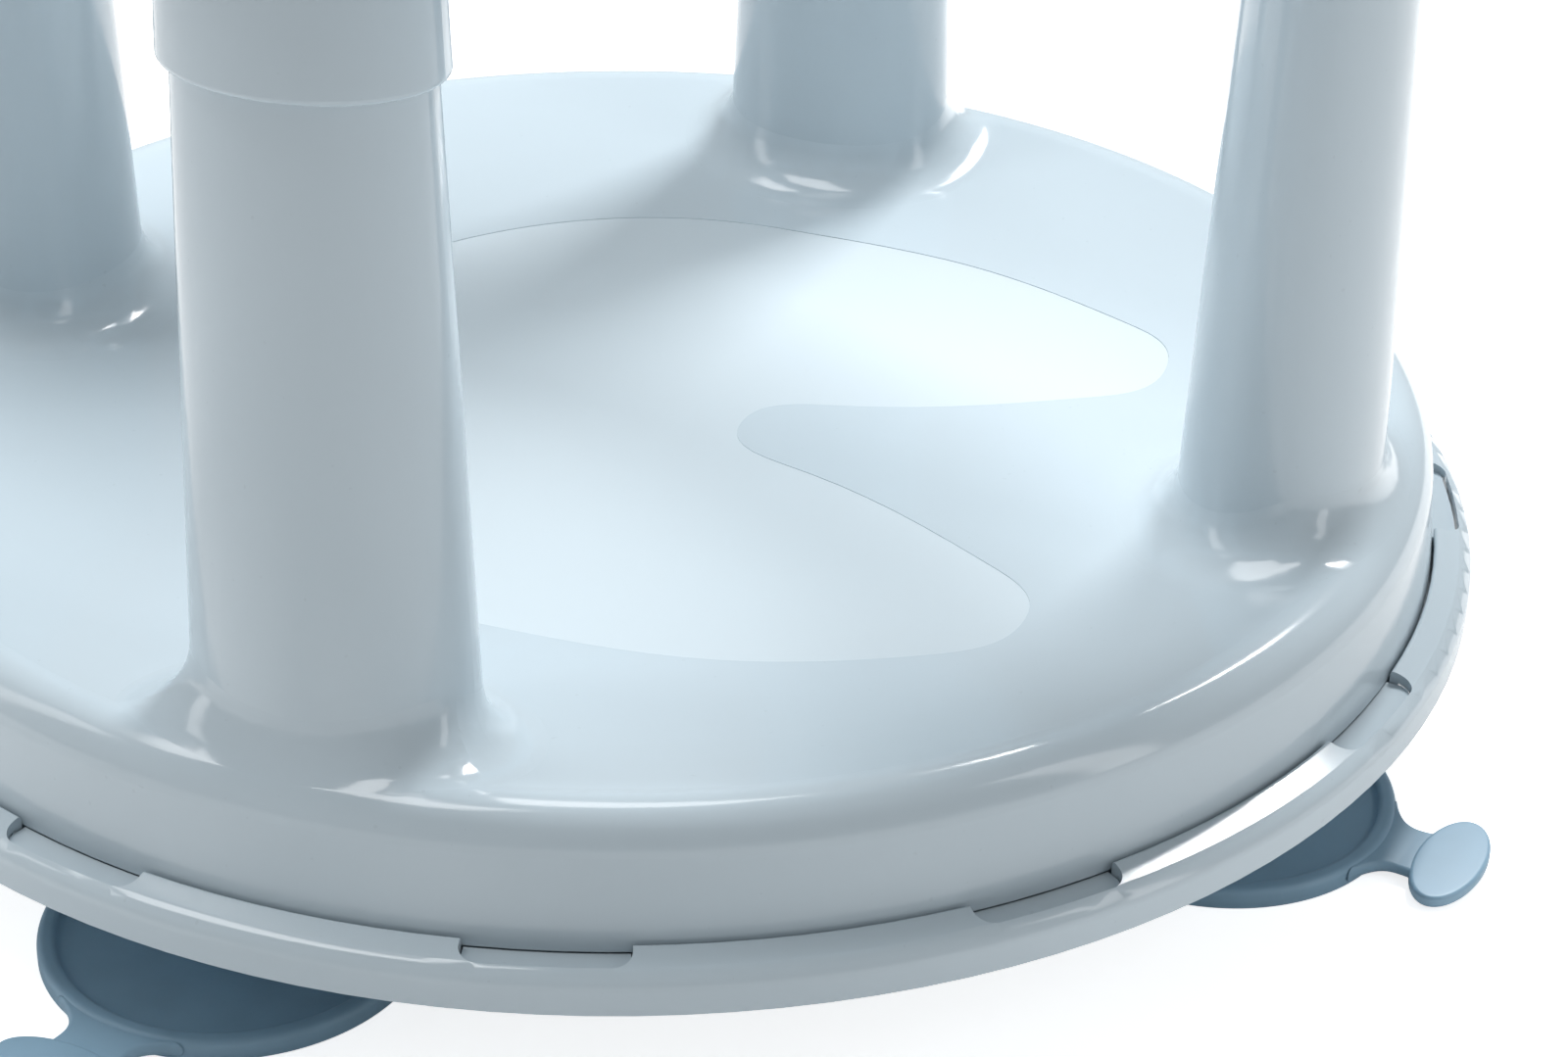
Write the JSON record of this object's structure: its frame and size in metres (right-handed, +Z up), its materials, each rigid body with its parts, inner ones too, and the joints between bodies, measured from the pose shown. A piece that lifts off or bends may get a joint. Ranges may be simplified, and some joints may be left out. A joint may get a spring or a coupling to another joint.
{
  "type": "baby bath seat",
  "caption": "Baby bath seat: a round swivelling seat with a crotch post, side posts and a ring, on a snap-hook tray with rubber suction cups and pull tabs.",
  "frame": {"origin": "on the floor under the middle of the tray", "axes": "+Z up, the sitter faces -Y, +X is to the sitter's left"},
  "size_m": [0.3784, 0.3786, 0.2328],
  "materials": {
    "tray_plastic": "moulded, high gloss",
    "seat_plastic": "moulded, high gloss",
    "post_plastic": "moulded, high gloss",
    "ring_plastic": "moulded, high gloss",
    "cup_rubber": "smooth soft PVC, satin",
    "screw_steel": "stainless"
  },
  "bodies": {
    "base": {"base_tray": "tray_plastic"},
    "seat": {"seat_shell": "seat_plastic", "post_front": "post_plastic", "post_left": "post_plastic", "post_right": "post_plastic", "post_rear": "post_plastic", "post_screws": "screw_steel", "ring_lower": "ring_plastic", "ring_upper": "ring_plastic", "ring_screws": "screw_steel"},
    "cup_left": {"suction_cup_left": "cup_rubber"},
    "tab_left": {"pull_tab_left": "cup_rubber"},
    "cup_rear": {"suction_cup_rear": "cup_rubber"},
    "tab_rear": {"pull_tab_rear": "cup_rubber"},
    "cup_right": {"suction_cup_right": "cup_rubber"},
    "tab_right": {"pull_tab_right": "cup_rubber"},
    "cup_front": {"suction_cup_front": "cup_rubber"},
    "tab_front": {"pull_tab_front": "cup_rubber"}
  },
  "joints": [
    {"name": "seat_swivel", "type": "hinge", "parent": "base", "child": "seat", "pos_m": [0, 0, 0.0398], "axis": [0, 0, 1], "continuous": true},
    {"name": "cup_left_turn", "type": "hinge", "parent": "base", "child": "cup_left", "pos_m": [0.13388, -0.02505, 0.0308], "axis": [0, 0, 1], "continuous": true},
    {"name": "tab_left_lift", "type": "hinge", "parent": "cup_left", "child": "tab_left", "pos_m": [0.1707, -0.03161, 0.0021], "axis": [-0.1754, -0.9845, 0], "range_deg": [0, 70], "stiffness_Nm_per_rad": 0.015},
    {"name": "cup_rear_turn", "type": "hinge", "parent": "base", "child": "cup_rear", "pos_m": [0.02505, 0.13388, 0.0308], "axis": [0, 0, 1], "continuous": true},
    {"name": "tab_rear_lift", "type": "hinge", "parent": "cup_rear", "child": "tab_rear", "pos_m": [0.03071, 0.17084, 0.0021], "axis": [0.9885, -0.1513, 0], "range_deg": [0, 70], "stiffness_Nm_per_rad": 0.015},
    {"name": "cup_right_turn", "type": "hinge", "parent": "base", "child": "cup_right", "pos_m": [-0.13388, 0.02505, 0.0308], "axis": [0, 0, 1], "continuous": true},
    {"name": "tab_right_lift", "type": "hinge", "parent": "cup_right", "child": "tab_right", "pos_m": [-0.1707, 0.03161, 0.0021], "axis": [0.1754, 0.9845, 0], "range_deg": [0, 70], "stiffness_Nm_per_rad": 0.015},
    {"name": "cup_front_turn", "type": "hinge", "parent": "base", "child": "cup_front", "pos_m": [-0.02505, -0.13388, 0.0308], "axis": [0, 0, 1], "continuous": true},
    {"name": "tab_front_lift", "type": "hinge", "parent": "cup_front", "child": "tab_front", "pos_m": [-0.03071, -0.17084, 0.0021], "axis": [-0.9885, 0.1513, 0], "range_deg": [0, 70], "stiffness_Nm_per_rad": 0.015}
  ]
}
